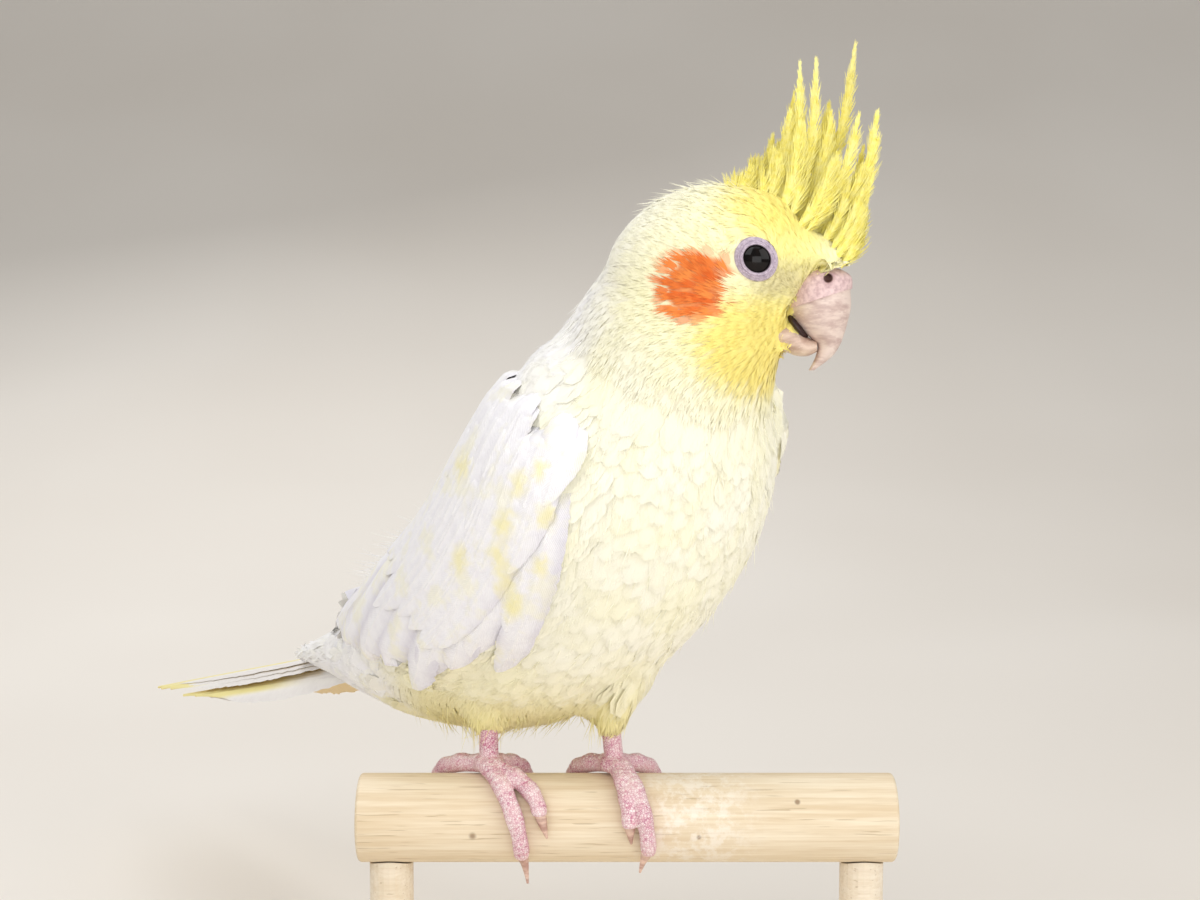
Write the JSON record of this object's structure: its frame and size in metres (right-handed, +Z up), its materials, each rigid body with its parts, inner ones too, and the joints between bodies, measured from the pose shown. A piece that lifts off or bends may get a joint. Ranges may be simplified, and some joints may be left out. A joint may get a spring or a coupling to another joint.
{
  "type": "cockatiel model on a perch stand",
  "caption": "A life-size still cockatiel with a raised crest, gripping a short wooden perch on a flat display stand",
  "frame": {"origin": "the middle of the underside of the stand's base, on the surface it stands on", "axes": "+X along the perch, the toes reach over it towards -Y, the tail points away towards +Y and -X, +Z up"},
  "size_m": [0.186, 0.2129, 0.183],
  "materials": {
    "plumage_yellow": "soft",
    "plumage_cream": "soft",
    "plumage_white": "soft",
    "cere_skin": "satin",
    "bill_horn": "satin",
    "eye": "wet gloss",
    "foot_skin": "scaly satin",
    "claw_horn": "satin",
    "perch_wood": "bare sanded",
    "stand_wood": "satin"
  },
  "bodies": {
    "root": {"head": "plumage_yellow", "neck": "plumage_cream", "trunk": "plumage_cream", "crest": "plumage_yellow", "tail": "plumage_white", "cere": "cere_skin", "bill_upper": "bill_horn", "bill_lower": "bill_horn", "eye_right": "eye", "wing_right": "plumage_white", "thigh_right": "plumage_cream", "foot_right": "foot_skin", "claw_right_1": "claw_horn", "claw_right_2": "claw_horn", "claw_right_3": "claw_horn", "claw_right_4": "claw_horn", "stand_rod_right": "stand_wood", "eye_left": "eye", "wing_left": "plumage_white", "thigh_left": "plumage_cream", "foot_left": "foot_skin", "claw_left_1": "claw_horn", "claw_left_2": "claw_horn", "claw_left_3": "claw_horn", "claw_left_4": "claw_horn", "stand_rod_left": "stand_wood", "stand_perch": "perch_wood", "stand_base": "stand_wood"}
  },
  "joints": []
}
